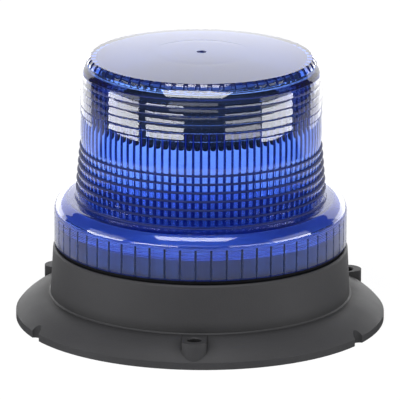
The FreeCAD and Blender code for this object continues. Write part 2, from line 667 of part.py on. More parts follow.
def make_drum_lid():
    """A lid on the edge of the drum and the head of the tower, held by one screw."""
    body = new_body("drum_lid")
    lid_top = f"{DRUM_TOP} + lid_thickness"
    rim = f"{DRUM_TOP_RADIUS} - drum_wall - fit"
    revolve(body, "lid_plate", [
        (PILOT, DRUM_TOP),
        (f"{rim} - drum_wall", DRUM_TOP),
        (f"{rim} - drum_wall", f"{DRUM_TOP} - lid_spigot"),
        (rim, f"{DRUM_TOP} - lid_spigot"),
        (rim, DRUM_TOP),
        (DRUM_TOP_RADIUS, DRUM_TOP),
        (DRUM_TOP_RADIUS, f"{lid_top} - lid_round"),
        (f"{DRUM_TOP_RADIUS} - lid_round", lid_top, "lid_round"),
        (PILOT, lid_top),
    ])
    screw_group("lid_screw", [("0", "0")], lid_top, "lid_thickness + screw_reach")


def make_light_tower():
    body = new_body("light_tower")
    posts(body, "tower_foot", [("0", "0")], "tower_screw_circle / 2 + foot_rim", BOARD_TOP, "foot_thickness")
    plan = new_sketch(body, "tower_plan", "XY_Plane", BOARD_TOP)
    faces = count("tower_faces")
    half_face = TURN / faces / 2
    draw_outline(plan, around(f"tower_across / cos({half_face})", faces, half_face))
    extrude(body, "tower_post", plan, f"{DRUM_TOP} - {BOARD_TOP}")

    # Slots in the foot for the light boards, and a screw hole in each face
    slot_plan = new_sketch(body, "strip_slot_plan", "XY_Plane", BOARD_TOP)
    draw_outline(slot_plan, [
        ("tower_across / 2", "-strip_width / 2 - fit"),
        (f"{STRIP_FACE} + fit", "-strip_width / 2 - fit"),
        (f"{STRIP_FACE} + fit", "strip_width / 2 + fit"),
        ("tower_across / 2", "strip_width / 2 + fit"),
    ])
    slot = extrude(body, "strip_slot", slot_plan, "foot_thickness", POCKET, Reversed=True)
    hole_plan = new_sketch(body, "strip_hole_plan", "YZ_Plane", "tower_across / 2 - strip_screw_reach")
    draw_circles(hole_plan, [("0", STRIP_SCREW)], "strip_screw_shank / 2 + fit")
    hole = extrude(body, "strip_hole", hole_plan, "strip_screw_reach", POCKET, Reversed=True)
    repeat(body, "face_pattern", [slot, hole], "tower_faces")
    holes(body, "foot_holes", TOWER_SCREWS, PILOT, BOARD_TOP, "foot_thickness")
    holes(body, "lid_pilot", [("0", "0")], PILOT, f"{DRUM_TOP} - pilot_depth", "pilot_depth")
    tower_reach = "foot_thickness + board_thickness + screw_reach"
    screw_group("tower_screws", TOWER_SCREWS, FOOT_TOP, tower_reach)


def make_light_boards():
    """A board with a pair of LEDs and a screw on each face of the tower."""
    screws = []
    for face in range(count("tower_faces")):
        angle = TURN / count("tower_faces") * face
        number = face + 1
        size = ("board_thickness", "strip_width", f"{STRIP_TOP} - {BOARD_TOP}")
        strip = box(f"strip_{number}", size, ("tower_across / 2", "-strip_width / 2", BOARD_TOP))
        bore = sideways_cylinder(f"strip_bore_{number}", "strip_screw_shank / 2 + fit", "board_thickness",
                                 "tower_across / 2", "0", STRIP_SCREW)
        add_part(turned(cut(f"light_board_{number}", strip, bore), angle), f"light_board_{number}")

        leds = []
        for side in ("-", "+"):
            middle = f"{side}led_spacing / 2"
            name = f"led_{number}_{'left' if side == '-' else 'right'}"
            size = ("led_base", "led_side", "led_side")
            corner = (STRIP_FACE, f"{middle} - led_side / 2", f"{LIGHT_HEIGHT} - led_side / 2")
            dome = doc.addObject("Part::Sphere", f"{name}_dome")
            dome.Angle1 = 0
            dome.Placement.Rotation = FreeCAD.Rotation(FreeCAD.Vector(0, 1, 0), 90)
            bind(dome, Radius="led_dome", Placement__Base__x=f"{STRIP_FACE} + led_base",
                 Placement__Base__y=middle, Placement__Base__z=LIGHT_HEIGHT)
            leds.append(fuse(name, [box(f"{name}_base", size, corner), dome]))
        add_part(turned(group(f"led_pair_{number}", leds), angle), f"led_pair_{number}")

        head = sideways_cylinder(f"strip_screw_head_{number}", "strip_screw_head / 2", "strip_screw_head_height",
                                 STRIP_FACE, "0", STRIP_SCREW)
        shank = sideways_cylinder(f"strip_screw_shank_{number}", "strip_screw_shank / 2",
                                  "board_thickness + strip_screw_reach",
                                  "tower_across / 2 - strip_screw_reach", "0", STRIP_SCREW)
        screws.append(turned(fuse(f"strip_screw_{number}", [head, shank]), angle))
    add_part(group("light_board_screws", screws), "light_board_screws")


def make_driver_board():
    body = new_body("driver_board")
    posts(body, "board_disc", [("0", "0")], "board_diameter / 2", BOARD_FOOT, "board_thickness")
    slot_plan = new_sketch(body, "cable_slot_plan", "XY_Plane", BOARD_FOOT)
    draw_outline(slot_plan, [
        ("-cable_slot / 2", "gland_offset - cable_slot / 2"),
        ("cable_slot / 2", "gland_offset - cable_slot / 2"),
        ("cable_slot / 2", "board_diameter / 2"),
        ("-cable_slot / 2", "board_diameter / 2"),
    ])
    extrude(body, "cable_slot_cut", slot_plan, "board_thickness", POCKET, Reversed=True)
    holes(body, "board_holes", BOARD_POSTS + TOWER_SCREWS, PILOT, BOARD_FOOT, "board_thickness")
    screw_group("driver_board_screws", BOARD_POSTS, BOARD_TOP, "board_thickness + screw_reach")


def make_terminal_block():
    left = "-terminal_left - terminal_length / 2"
    front = "terminal_rear - terminal_depth / 2"
    block = box("terminal_case", ("terminal_length", "terminal_depth", "terminal_height"), (left, front, BOARD_TOP))
    top = f"{BOARD_TOP} + terminal_height"
    way = "terminal_length / terminal_ways"
    wells = []
    screws = []
    for index in range(count("terminal_ways")):
        x = f"{left} + ({index} + 0.5) * {way}"
        wells.append(cylinder(f"screw_well_{index}", "terminal_screw / 2 + fit", "terminal_screw_depth",
                              x, "terminal_rear", f"{top} - terminal_screw_depth"))
        screws.append(cylinder(f"terminal_screw_{index}", "terminal_screw / 2", "terminal_screw_height",
                               x, "terminal_rear", f"{top} - terminal_screw_depth"))
        entry = cylinder(f"wire_entry_{index}", "wire_hole / 2", "wire_hole_depth",
                         x, "terminal_rear + terminal_depth / 2", f"{BOARD_TOP} + wire_hole_height")
        entry.Placement.Rotation = FreeCAD.Rotation(FreeCAD.Vector(1, 0, 0), REAR)
        wells.append(entry)
    add_part(cut("terminal_block", block, fuse("terminal_wells", wells)), "terminal_block")
    add_part(group("terminal_screws", screws), "terminal_screws")


def make_capacitors():
    for number, side in ((1, "-"), (2, "+")):
        body = new_body(f"capacitor_{number}")
        can = "capacitor_diameter / 2"
        neck_foot = "capacitor_groove_height - capacitor_groove"
        neck_head = "capacitor_groove_height + capacitor_groove"
        revolve(body, f"capacitor_can_{number}", [
            ("0", "0"),
            (can, "0"),
            (can, neck_foot),
            (f"{can} - capacitor_groove", "capacitor_groove_height"),
            (can, neck_head),
            (can, "capacitor_height - capacitor_groove"),
            (f"{can} - capacitor_groove", "capacitor_height"),
            ("0", "capacitor_height"),
        ])
        bind(body, Placement__Base__x="capacitor_right", Placement__Base__y=f"{side}capacitor_spacing / 2",
             Placement__Base__z=BOARD_TOP)


def make_choke():
    body = new_body("choke")
    plan = new_sketch(body, "choke_plan", "XY_Plane", BOARD_TOP)
    left = "-choke_left - choke_side / 2"
    right = "-choke_left + choke_side / 2"
    half = "choke_side / 2"
    draw_outline(plan, [
        (f"{left} + choke_corner", f"-{half}"),
        (f"{right} - choke_corner", f"-{half}"),
        (right, f"-{half} + choke_corner"),
        (right, f"{half} - choke_corner"),
        (f"{right} - choke_corner", half),
        (f"{left} + choke_corner", half),
        (left, f"{half} - choke_corner"),
        (left, f"-{half} + choke_corner"),
    ])
    extrude(body, "choke_case", plan, "choke_height")


def make_chips():
    corner = ("-chip_left - chip_length / 2", "-chip_front - chip_width / 2", BOARD_TOP)
    add_part(box("driver_chip", ("chip_length", "chip_width", "chip_height"), corner), "driver_chip")
    transistors = []
    for index in range(2):
        left = f"transistor_right + {index} * transistor_pitch - transistor_side / 2"
        front = "-chip_front - transistor_side / 2"
        case = box(f"transistor_case_{index}", ("transistor_side", "transistor_side", "transistor_height"),
                   (left, front, BOARD_TOP))
        tab = box(f"transistor_tab_{index}", ("transistor_side", "transistor_tab", "transistor_tab_height"),
                  (left, f"{front} - transistor_tab", BOARD_TOP))
        transistors.append(fuse(f"transistor_{index}", [case, tab]))
    add_part(group("transistors", transistors), "transistors")


def make_gland():
    x, y = GLAND_PLACE
    thread = "gland_thread / 2"
    thread_hole = f"{thread} + fit"
    gland_top = f"{FLOOR_TOP} + gland_reach"
    stem = cylinder("gland_stem", thread, f"{gland_top} - {GLAND_HEX_TOP}", x, y, GLAND_HEX_TOP)
    spanner = hexagon("gland_spanner", "gland_hex", "gland_hex_height", x, y, GLAND_HEX_FOOT)
    spigot = cylinder("gland_spigot_body", "gland_spigot / 2", "gland_spigot_height", x, y, SPIGOT_FOOT)
    bore = cylinder("gland_bore_cut", "gland_bore / 2", f"{gland_top} - {SPIGOT_FOOT}", x, y, SPIGOT_FOOT)
    add_part(cut("gland_body", fuse("gland_solid", [stem, spanner, spigot]), bore), "gland_body")

    ring = cylinder("washer_ring", "gland_hex / 2", "gland_washer_height", x, y, GLAND_HEX_TOP)
    hole = cylinder("washer_hole", thread_hole, "gland_washer_height", x, y, GLAND_HEX_TOP)
    add_part(cut("gland_washer", ring, hole), "gland_washer")

    nut = hexagon("lock_nut_body", "gland_hex", "lock_nut_height", x, y, FLOOR_TOP)
    hole = cylinder("lock_nut_hole", thread_hole, "lock_nut_height", x, y, FLOOR_TOP)
    add_part(cut("gland_lock_nut", nut, hole), "gland_lock_nut")

    well_radius = "gland_spigot / 2 + fit"
    nut = hexagon("dome_nut_body", f"2 * ({well_radius} + dome_nut_wall)", f"{NUT_TOP} - {NUT_FOOT}", x, y, NUT_FOOT)
    well = cylinder("dome_nut_well", well_radius, f"{NUT_TOP} - {NUT_FLOOR}", x, y, NUT_FLOOR)
    mouth = cylinder("dome_nut_hole", "cable_diameter / 2 + dome_nut_mouth", "dome_nut_floor", x, y, NUT_FOOT)
    add_part(cut("gland_dome_nut", nut, fuse("dome_nut_cuts", [well, mouth])), "gland_dome_nut")

    sleeve = cylinder("seal_sleeve", "gland_bore / 2 - fit", "gland_seal_height", x, y, NUT_FLOOR)
    hole = cylinder("seal_hole", "cable_diameter / 2", "gland_seal_height", x, y, NUT_FLOOR)
    add_part(cut("gland_seal", sleeve, hole), "gland_seal")


make_base_housing()
make_lens_seal()
make_lens_dome()
make_light_drum()
make_light_tower()
make_drum_lid()
make_light_boards()
make_driver_board()
make_terminal_block()
make_capacitors()
make_choke()
make_chips()
make_gland()
doc.recompute()

for item in doc.Objects:
    if "Invalid" in item.State or "Error" in item.State:
        raise RuntimeError(f"{item.Name} failed: {item.State}")
for item in sub_parts:
    if item.Shape.isNull() or not item.Shape.isValid():
        raise RuntimeError(f"{item.Label} has no valid shape")
os.makedirs("parts", exist_ok=True)
for item in sub_parts:
    item.Shape.exportStep(f"parts/{item.Label}.step")
    print(item.Label, len(item.Shape.Solids), round(item.Shape.Volume, 1))
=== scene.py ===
import json
import math

import bpy
import numpy as np
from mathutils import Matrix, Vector


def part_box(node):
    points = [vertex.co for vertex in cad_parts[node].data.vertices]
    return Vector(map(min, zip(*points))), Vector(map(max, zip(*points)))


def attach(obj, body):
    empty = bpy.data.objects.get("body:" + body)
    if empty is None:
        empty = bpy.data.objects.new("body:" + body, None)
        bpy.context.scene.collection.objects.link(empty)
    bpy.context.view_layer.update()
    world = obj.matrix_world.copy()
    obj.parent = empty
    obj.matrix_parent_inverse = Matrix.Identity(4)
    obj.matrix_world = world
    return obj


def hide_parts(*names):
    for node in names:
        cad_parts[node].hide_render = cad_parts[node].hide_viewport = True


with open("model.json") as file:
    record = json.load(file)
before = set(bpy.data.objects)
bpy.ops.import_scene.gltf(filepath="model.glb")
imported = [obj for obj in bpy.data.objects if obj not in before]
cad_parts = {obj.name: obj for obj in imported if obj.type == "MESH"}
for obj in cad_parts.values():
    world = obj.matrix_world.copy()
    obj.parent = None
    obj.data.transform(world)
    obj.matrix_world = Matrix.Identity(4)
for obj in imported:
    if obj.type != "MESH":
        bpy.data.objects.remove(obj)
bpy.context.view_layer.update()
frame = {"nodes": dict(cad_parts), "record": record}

MM = 0.001
TURN = 2 * math.pi


def box_mm(node):
    """Low and high corner of a node, in millimetres."""
    return [np.array(corner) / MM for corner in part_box(node)]


lens_low, lens_high = box_mm("lens_dome")
DRUM_FOOT, DRUM_TOP = [corner[2] for corner in box_mm("light_drum")]
SEAL_FOOT = box_mm("lens_seal")[0][2]

# Collar and shoulder of the lens, in millimetres, with heights from the underside of the flange
COLLAR_RADIUS = max(lens_high[:2])
COLLAR_FOOT = lens_low[2]
COLLAR_HEIGHT = 15.3
COLLAR_TOP = COLLAR_FOOT + COLLAR_HEIGHT
COLLAR_WALL = 3.4
COLLAR_BORE = COLLAR_RADIUS - COLLAR_WALL
COLLAR_EDGE = 0.5
SHOULDER_RISE = 5.7
SHOULDER_ROUND = 7.0
SHOULDER_WALL = 3.0
WALL_RUN = 0.3

# Dome of the lens and its clear band
DOME_FOOT = COLLAR_TOP + SHOULDER_RISE
DOME_FOOT_RADIUS = 56.0
DOME_FOOT_ROUND = 0.3
DOME_RADIUS = 53.3
BAND_FOOT = 79.8
BAND_TOP = 94.8
BAND_BULGE = 0.45

# Stepped rings below and above the clear band
RING_PITCH = 3.8
RING_CROWN = 44.0
RING_EDGE = 0.28
RING_EDGE_LEAN = RING_EDGE / 4
RING_EDGE_ROUND = 0.8 * RING_EDGE
RING_LINE = 0.55
RING_LINE_SHARE = RING_LINE / RING_PITCH
LOWER_RINGS = 6
LOWER_STEP = 0.9
LOWER_LEAN = 0.34
UPPER_RINGS = 5
UPPER_STEP = 0.6
UPPER_STEP_GAIN = 0.09
SINK_DEPTH = 0.012

# Leaning ring, notched crown and slightly domed top of the lens
LENS_TOP = lens_high[2]
TAPER_FOOT = BAND_TOP + UPPER_RINGS * RING_PITCH
TAPER_HEIGHT = 3.5
TAPER_RADIUS = 53.9
TAPER_TOP_RADIUS = 51.2
TAPER_ROUND = 12.0
CROWN_FOOT = TAPER_FOOT + TAPER_HEIGHT
CROWN_HEIGHT = 2.6
CROWN_EDGE = CROWN_FOOT + CROWN_HEIGHT
CROWN_RADIUS = 50.9
CROWN_TOP_RADIUS = 49.2
CROWN_ROUND = 5.0
CROWN_WALL = 2.5
CIRCLE_RADIUS = 21.5
CIRCLE_HALF_WIDTH = 0.4
CIRCLE_DEPTH = 0.02
GATE_RADIUS = 2.2
GATE_DEPTH = 0.9
GATE_DRAFT = 0.3
GATE_RING_WIDTH = 0.6
GATE_STUB_HEIGHT = 0.3

# Bore of the lens and its upright flutes
BORE_FOOT_RADIUS = 51.9
BORE_TOP_RADIUS = 50.7
BORE_TOP = 114.8
CEILING_RADIUS = BORE_TOP_RADIUS - 4
FLUTE_COUNT = 96
FLUTE_WIDTH = 2.9
FLUTE_RISE = 0.7
FLUTE_FOOT = 56.4
FLUTE_FOOT_RUN = 0.1
FLUTE_TOP = 98.6
FLUTE_TOP_RUN = 2.0

# Grip grooves of the collar, and as many notches in the crown
GRIP_COUNT = 60
GRIP_HALF_WIDTH = 0.5
GRIP_DEPTH = 0.7
GRIP_REST = 1.3
GRIP_TOP_RUN = 0.05
NOTCH_HALF_WIDTH = 0.95
NOTCH_EDGE = 0.25
NOTCH_DEPTH = 0.9

# Thread inside the collar, with the share by which its crests are widened
THREAD_PITCH = 1.5
THREAD_STARTS = 2
THREAD_RISE = 0.28
THREAD_CREST = 0.3
THREAD_FOOT = 43.9
THREAD_TOP = 49.5

# Steps of the lens mesh, and the corner that its shading keeps sharp
EDGE_STEPS = 4
SHOULDER_STEPS = 10
RING_STEPS = 4
RING_EDGE_STEPS = 3
BAND_STEPS = 10
TAPER_STEPS = 6
CROWN_STEPS = 6
TOP_OUTER_POINTS = 8
TOP_INNER_POINTS = 6
CEILING_STEPS = 10
FLUTE_STEPS = 12
THREAD_ROWS = 36
ANGLE_DIGITS = 6
SHARP_CORNER = math.radians(28)

# Cove where the wall of the housing meets the skirt
COVE_RADIUS = 67.0
COVE_FOOT = 11.45
COVE_SIZE = 0.9
COVE_SINK = 0.3
COVE_STEPS = 5
COVE_TURNS = 240

# Drift and grain of the finishes, with the grain's depth in metres and the edge of masks in millimetres
NOISE_DETAIL = 4.0
MOTTLE_STOPS = (0.3, 0.7)
GLOSS_SCALE = 3
GLOSS_DRIFT = 0.15
GRAIN_DEPTH = 0.0002
MASK_EDGE = 0.1

# Finish of the housing, with heights in millimetres and lengths in metres
HOUSING_GREY = (0.024, 0.024, 0.0256)
# Painted shade: the ledge's top under the collar is painted near black for the shadow gap there
LEDGE_PAINTED_SHADE = (0.003, 0.003, 0.0035, 1)
LEDGE_FROM = SEAL_FOOT - 0.05
NECK_GREY = (0.075, 0.076, 0.08, 1)
NECK_FROM = SEAL_FOOT + 0.1
# Painted shade: the near black towards which ambient occlusion darkens hollows, holes and corners
HOLLOW_PAINTED_SHADE = (0.002, 0.002, 0.002, 1)
HOLLOW_REACH = 0.006
HOLLOW_POWER = 1.6
HOLLOW_SAMPLES = 8
SOFT_EDGE = 0.0004
SOFT_EDGE_SAMPLES = 6

# Painted light and shade on the light drum, by height above its foot in millimetres: lit on top, shaded low
DRUM_PAINTED_SHADE = [
    (1.8, (0.17, 0.2, 0.34)),
    (5.0, (0.075, 0.13, 0.27)),
    (14.0, (0.085, 0.14, 0.3)),
    (24.5, (0.35, 0.42, 0.72)),
    (27.2, (0.35, 0.42, 0.72)),
    (27.6, (0.88, 0.9, 0.96)),
]

# Clear finish of the lens, with the radii and heights in millimetres of its frosted and hazy faces
LENS_INDEX = 1.5
LENS_ROUGHNESS = (0.01, 0.05)
LENS_DRIFT = 40
LENS_DYE = (0.06, 0.36, 0.825, 1)
LENS_DYE_DENSITY = 400
LENS_SHADOW = (0.9, 0.93, 0.97, 1)
FROST_ROUGHNESS = 0.4
FROST_COLLAR_RADIUS = COLLAR_BORE + 0.3
FROST_COLLAR_TOP = DOME_FOOT - SHOULDER_WALL + 0.2
FROST_CROWN_RADIUS = CEILING_RADIUS + 0.1
FROST_CROWN_FOOT = CROWN_EDGE - CROWN_WALL - 0.2
FROST_CROWN_TOP = LENS_TOP - CROWN_WALL + 0.2
HAZE_ROUGHNESS = 0.15
HAZE_FOOT = DOME_FOOT - 0.1
HAZE_TOP = DOME_FOOT + 7.0

# Slots of the lens finishes, and the kinds of rows painted dark all round as shade
CLEAR, ROOT, GROOVE, LINE = range(4)
DARK_KINDS = ("rim", "foot", "riser", "line", "edge", "flute_end")

# Half width in which each stretch of a flute stays clear, in millimetres; beyond it the flute is painted
# dark as shade
FLUTE_FLANKS = {"flute_top": 1.39, "flute_middle": 1.18, "flute_low": 0.93}

# Share of the crown's height above which a notch is painted dark as shade all over, and not at its sides
# only
NOTCH_SHADE = 0.5

# Dark table and the oval sheet on it, whose middle is behind the beacon, in metres
FLOOR_SIZE = 6
TABLE_GREY = (0.06, 0.06, 0.06, 1)
SHEET_GREY = (0.8, 0.8, 0.8)
SHEET_MIDDLE = 0.25
SHEET_HALF_SIZE = (0.42, 0.55)

# Masks on the floor, by where they are nought and where one, in metres or in shares of the sheet's half size
SHEET_EDGE = (1.05, 0.95)
SHEET_SEEN_THROUGH = (0.23, 0.17)
STRIP_INNER_EDGE = (0.155, 0.17)
STRIP_OUTER_EDGE = (0.245, 0.23)
MIRRORED_BEHIND = (0.06, 0.12)

# Share of plain white that the floor shows to the camera and in the lens
SEEN_WHITE = 0.9

# Lamps, in degrees and metres, the point that they face and the strength of the plain surroundings
WORLD_STRENGTH = 0.15
LAMP_AIM = (0, 0, 0.09)
LAMPS = {
    "left_box": dict(azimuth=-76, elevation=0.6, distance=0.9, size=(0.58, 0.24), radiance=12.5),
    "left_fill": dict(azimuth=-76, elevation=16, distance=0.9, size=(0.58, 0.22), radiance=2.6),
    "right_box": dict(azimuth=76, elevation=0.6, distance=0.9, size=(0.58, 0.24), radiance=12.5),
    "right_fill": dict(azimuth=76, elevation=16, distance=0.9, size=(0.58, 0.22), radiance=2.6),
    "front_box": dict(azimuth=-6, elevation=62, distance=1.0, size=(0.82, 0.5), radiance=11.5),
    "front_strip": dict(azimuth=-6, elevation=14, distance=1.0, size=(0.82, 0.09), radiance=2.5),
    "back_box": dict(azimuth=180, elevation=13, distance=0.65, size=(1.5, 0.46), radiance=1.85),
    "left_wing": dict(azimuth=-148, elevation=-2.2, distance=0.45, size=(0.46, 0.135), radiance=2.4),
    "right_wing": dict(azimuth=148, elevation=-2.2, distance=0.45, size=(0.46, 0.135), radiance=2.2),
    "left_card": dict(azimuth=-33, elevation=2, distance=1.0, size=(0.65, 0.17), radiance=13),
    "right_card": dict(azimuth=40, elevation=2, distance=1.0, size=(0.6, 0.17), radiance=6.5),
}

# Camera, in metres, in pixels of the square frame and in millimetres of sensor
FRAME_PIXELS = 400
FOCAL_PIXELS = 5600
SENSOR = 36.0
CAMERA_DISTANCE = 2.4062
CAMERA_HEIGHT = 0.73335
CAMERA_AZIMUTH = math.radians(1.8)
CAMERA_ROLL = math.radians(0.35)
CAMERA_AIM = (-0.0003, 0, 0.0536)


def arc(start, end, radius, steps):
    """Points after the start on an arc to the end.

    It bulges to the right of the way, or to the left where the radius is less than nought.
    """
    start = np.array(start, float)
    end = np.array(end, float)
    chord = end - start
    half = np.linalg.norm(chord) / 2
    right = np.array([chord[1], -chord[0]]) / (2 * half)
    side = math.copysign(1, radius)
    centre = (start + end) / 2 - right * side * math.sqrt(radius ** 2 - half ** 2)
    first = math.atan2(*(start - centre)[::-1])
    last = math.atan2(*(end - centre)[::-1])
    turn = (last - first + math.pi) % TURN - math.pi
    reach = abs(radius)
    angles = [first + turn * step / steps for step in range(1, steps + 1)]
    return [(centre[0] + reach * math.cos(angle), centre[1] + reach * math.sin(angle)) for angle in angles]


def round_over(half, rise):
    """Radius of the arc over a chord, from half the chord and the rise in its middle."""
    return (half ** 2 + rise ** 2) / (2 * rise)


def off_middle(angle, count, radius):
    """Way along a circle to the middle of the nearest of evenly spaced copies."""
    pitch = TURN / count
    return abs((angle + pitch / 2) % pitch - pitch / 2) * radius


def rows_of(points, kind=""):
    """Rows of radius, height and kind. The kind says how a row is cut and how the faces after it look."""
    return [(radius, height, kind) for radius, height in points]


def collar_rows():
    """The grip collar and its rounded shoulder."""
    foot = (COLLAR_RADIUS - COLLAR_EDGE, COLLAR_FOOT)
    edge = (COLLAR_RADIUS, COLLAR_FOOT + COLLAR_EDGE)
    head = (COLLAR_RADIUS, COLLAR_TOP)
    shoulder = (COLLAR_RADIUS - SHOULDER_RISE, DOME_FOOT)
    grip_top = COLLAR_TOP - GRIP_REST
    plain_heights = (grip_top + GRIP_TOP_RUN, COLLAR_TOP - WALL_RUN)
    rows = rows_of([foot, *arc(foot, edge, COLLAR_EDGE, EDGE_STEPS)], "rim")
    rows += rows_of([(COLLAR_RADIUS, edge[1] + WALL_RUN), (COLLAR_RADIUS, grip_top)], "grip")
    rows += rows_of([(COLLAR_RADIUS, height) for height in plain_heights])
    return rows + rows_of([head, *arc(head, shoulder, SHOULDER_ROUND, SHOULDER_STEPS)])


def dome_foot_rows():
    """The small round and the short wall at the foot of the dome."""
    outer = (DOME_FOOT_RADIUS + DOME_FOOT_ROUND, DOME_FOOT)
    inner = (DOME_FOOT_RADIUS, DOME_FOOT + DOME_FOOT_ROUND)
    wall = (DOME_FOOT_RADIUS, inner[1] + WALL_RUN)
    rows = rows_of([outer, *arc(outer, inner, -DOME_FOOT_ROUND, EDGE_STEPS), wall], "foot")
    return rows + rows_of([(DOME_FOOT_RADIUS, BAND_FOOT - LOWER_RINGS * RING_PITCH)])


def lower_ring_rows(ring):
    """A ring below the band, from its root up to its edge. Ring nought is next to the band."""
    root = (DOME_RADIUS + ring * LOWER_LEAN, BAND_FOOT - (ring + 1) * RING_PITCH)
    tip = (root[0] + LOWER_STEP, root[1] + RING_PITCH)
    edge = (tip[0] - RING_EDGE_LEAN, tip[1] - RING_EDGE)
    line = (edge[0] - LOWER_STEP * RING_LINE_SHARE, edge[1] - RING_LINE)
    rounded = arc(edge, (tip[0] - RING_EDGE, tip[1]), RING_EDGE_ROUND, RING_EDGE_STEPS)
    rows = rows_of([root, *arc(root, edge, RING_CROWN, RING_STEPS)[:-1]], "sink")
    rows += rows_of([line], "line")
    rows += rows_of([edge, *rounded[:-1]], "edge")
    return rows + rows_of(rounded[-1:], "riser")


def band_rows():
    """The bulged clear band, up to the step of the first ring above it."""
    foot = (DOME_RADIUS, BAND_FOOT)
    bulge = round_over((BAND_TOP - BAND_FOOT) / 2, BAND_BULGE)
    points = [foot, *arc(foot, (DOME_RADIUS, BAND_TOP), bulge, BAND_STEPS)]
    return rows_of(points[:-1], "sink") + rows_of(points[-1:], "riser")


def upper_ring_rows(ring):
    """A ring above the band, from its edge up to its root. Ring nought is next to the band."""
    step = UPPER_STEP + ring * UPPER_STEP_GAIN
    root = (DOME_RADIUS - ring * UPPER_STEP_GAIN / 2, BAND_TOP + (ring + 1) * RING_PITCH)
    tip = (root[0] + step, root[1] - RING_PITCH)
    foot = (tip[0] - RING_EDGE, tip[1])
    edge = (tip[0] - RING_EDGE_LEAN, tip[1] + RING_EDGE)
    line = (root[0] + step * RING_LINE_SHARE, root[1] - RING_LINE)
    rows = rows_of([foot, *arc(foot, edge, RING_EDGE_ROUND, RING_EDGE_STEPS)], "sink")
    rows += rows_of(arc(edge, root, RING_CROWN, RING_STEPS)[:-1], "sink")
    rows += rows_of([line], "line")
    last = ring == UPPER_RINGS - 1
    return rows + rows_of([root], "sink" if last else "riser")


def top_points():
    """The slightly domed top from its edge to the middle, with the moulded circle and the gate mark."""
    top_round = round_over(CROWN_TOP_RADIUS, LENS_TOP - CROWN_EDGE)

    def height(radius):
        return LENS_TOP - top_round + math.sqrt(top_round ** 2 - radius ** 2)

    outer = np.linspace(CROWN_TOP_RADIUS, CIRCLE_RADIUS + CIRCLE_HALF_WIDTH, TOP_OUTER_POINTS)[1:]
    inner = np.linspace(CIRCLE_RADIUS - CIRCLE_HALF_WIDTH, GATE_RADIUS, TOP_INNER_POINTS)
    circle = (CIRCLE_RADIUS, height(CIRCLE_RADIUS) - CIRCLE_DEPTH)
    gate_floor = height(0) - GATE_DEPTH
    ring_outer = GATE_RADIUS - GATE_DRAFT
    ring_inner = ring_outer - GATE_RING_WIDTH
    stub_top = gate_floor + GATE_STUB_HEIGHT
    gate = [(ring_outer, gate_floor), (ring_inner, gate_floor)]
    gate += [(ring_inner - GATE_DRAFT, stub_top), (0, stub_top)]
    outer_points = [(radius, height(radius)) for radius in outer]
    inner_points = [(radius, height(radius)) for radius in inner]
    return outer_points + [circle] + inner_points + gate


def crown_rows():
    """The leaning ring, the crown whose notches run out at its top edge, and the domed top."""
    taper = (TAPER_RADIUS, TAPER_FOOT)
    taper_top = (TAPER_TOP_RADIUS, CROWN_FOOT)
    crown = (CROWN_RADIUS, CROWN_FOOT)
    side = arc(crown, (CROWN_TOP_RADIUS, CROWN_EDGE), CROWN_ROUND, CROWN_STEPS)
    rows = rows_of([taper, *arc(taper, taper_top, TAPER_ROUND, TAPER_STEPS)])
    rows += rows_of([crown, *side[:-1]], "crown")
    return rows + rows_of(side[-1:] + top_points())


def lens_outside():
    """Rows up the outside of the lens, from the foot of the collar to the middle of the top."""
    rows = collar_rows() + dome_foot_rows()
    for ring in reversed(range(LOWER_RINGS)):
        rows += lower_ring_rows(ring)
    rows += band_rows()
    for ring in range(UPPER_RINGS):
        rows += upper_ring_rows(ring)
    return rows + crown_rows()


def bore_rows():
    """The leaning bore of the dome, down over its flutes."""
    lean = (BORE_FOOT_RADIUS - BORE_TOP_RADIUS) / (BORE_TOP - DOME_FOOT)
    middle = (BAND_FOOT + FLUTE_FOOT) / 2
    heights = [
        (BORE_TOP, ""),
        (FLUTE_TOP + FLUTE_TOP_RUN, ""),
        (FLUTE_TOP, "flute_top"),
        (BAND_TOP, "flute_top"),
        (BAND_FOOT, "flute_middle"),
        (middle, "flute_low"),
        (FLUTE_FOOT, "flute_end"),
    ]
    rows = [(BORE_TOP_RADIUS + lean * (BORE_TOP - height), height, kind) for height, kind in heights]
    return rows + rows_of([(BORE_FOOT_RADIUS, FLUTE_FOOT - FLUTE_FOOT_RUN)])


def lens_inside():
    """Rows down the inside of the lens, from the middle of the crown to the foot of the collar."""
    middle = (0, LENS_TOP - CROWN_WALL)
    edge = (CEILING_RADIUS, CROWN_EDGE - CROWN_WALL)
    ceiling_round = round_over(CEILING_RADIUS, LENS_TOP - CROWN_EDGE)
    under_shoulder = DOME_FOOT - SHOULDER_WALL
    rows = rows_of([middle, *arc(middle, edge, -ceiling_round, CEILING_STEPS)]) + bore_rows()
    rows += rows_of([(BORE_FOOT_RADIUS, under_shoulder), (COLLAR_BORE - SHOULDER_WALL, under_shoulder)])
    rows += rows_of([(COLLAR_BORE, DOME_FOOT - 2 * SHOULDER_WALL)])
    rows += [(COLLAR_BORE, height, "thread") for height in np.linspace(THREAD_TOP, THREAD_FOOT, THREAD_ROWS)]
    return rows + rows_of([(COLLAR_BORE, COLLAR_FOOT)])


def lens_angles():
    """Turns of the lens mesh: steps over each flute, with more at each grip groove and notch."""
    half = FLUTE_WIDTH / 2 / BORE_FOOT_RADIUS
    flank = FLUTE_FLANKS["flute_top"] / BORE_FOOT_RADIUS
    flute = [-half, *np.linspace(-flank, flank, FLUTE_STEPS + 1), half]
    grip = [offset / COLLAR_RADIUS for offset in (-GRIP_HALF_WIDTH, 0, GRIP_HALF_WIDTH)]
    notch_sides = (NOTCH_HALF_WIDTH - NOTCH_EDGE / 2, NOTCH_HALF_WIDTH + NOTCH_EDGE / 2)
    notch = [side * offset / CROWN_RADIUS for offset in notch_sides for side in (-1, 1)]
    steps = set()
    for count, turns in ((FLUTE_COUNT, flute), (GRIP_COUNT, grip + notch)):
        for copy in range(count):
            steps.update(round((TURN * copy / count + turn) % TURN, ANGLE_DIGITS) for turn in turns)
    return np.array(sorted(steps))


